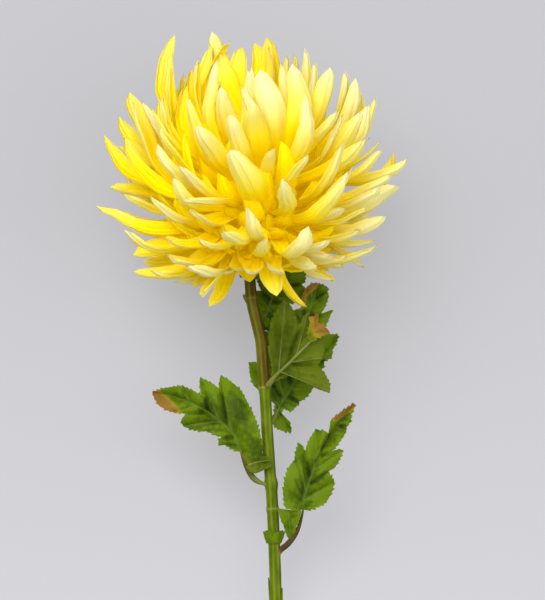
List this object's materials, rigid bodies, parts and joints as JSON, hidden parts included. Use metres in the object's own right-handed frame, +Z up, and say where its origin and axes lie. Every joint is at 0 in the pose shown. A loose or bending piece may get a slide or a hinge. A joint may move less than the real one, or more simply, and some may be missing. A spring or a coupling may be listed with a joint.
{
  "type": "incurved chrysanthemum stem",
  "caption": "Cut chrysanthemum lying on its back: one large ball-shaped bloom of arched petals on a ribbed stem with lobed leaves.",
  "frame": {"origin": "on the surface, under the middle of the flower's bounding box", "axes": "+Y along the lying stem from its cut end towards the bloom, +Z up from the surface, +X to the right of the stem"},
  "size_m": [0.15, 0.3324, 0.1354],
  "materials": {
    "petal": "soft satin petal, golden at the root and cream at the outer tip",
    "stem": "fresh green ribbed stem, flushed red brown towards the bloom",
    "calyx": "matt green bracts",
    "leaf": "veined green leaf with a paler matt underside and brown tips"
  },
  "bodies": {
    "root": {"bloom": "petal", "calyx": "calyx", "stem": "stem", "leaf_left": "leaf", "leaf_right": "leaf", "leaf_front": "leaf", "leaf_middle": "leaf", "leaf_side": "leaf", "leaf_top": "leaf"}
  },
  "joints": []
}
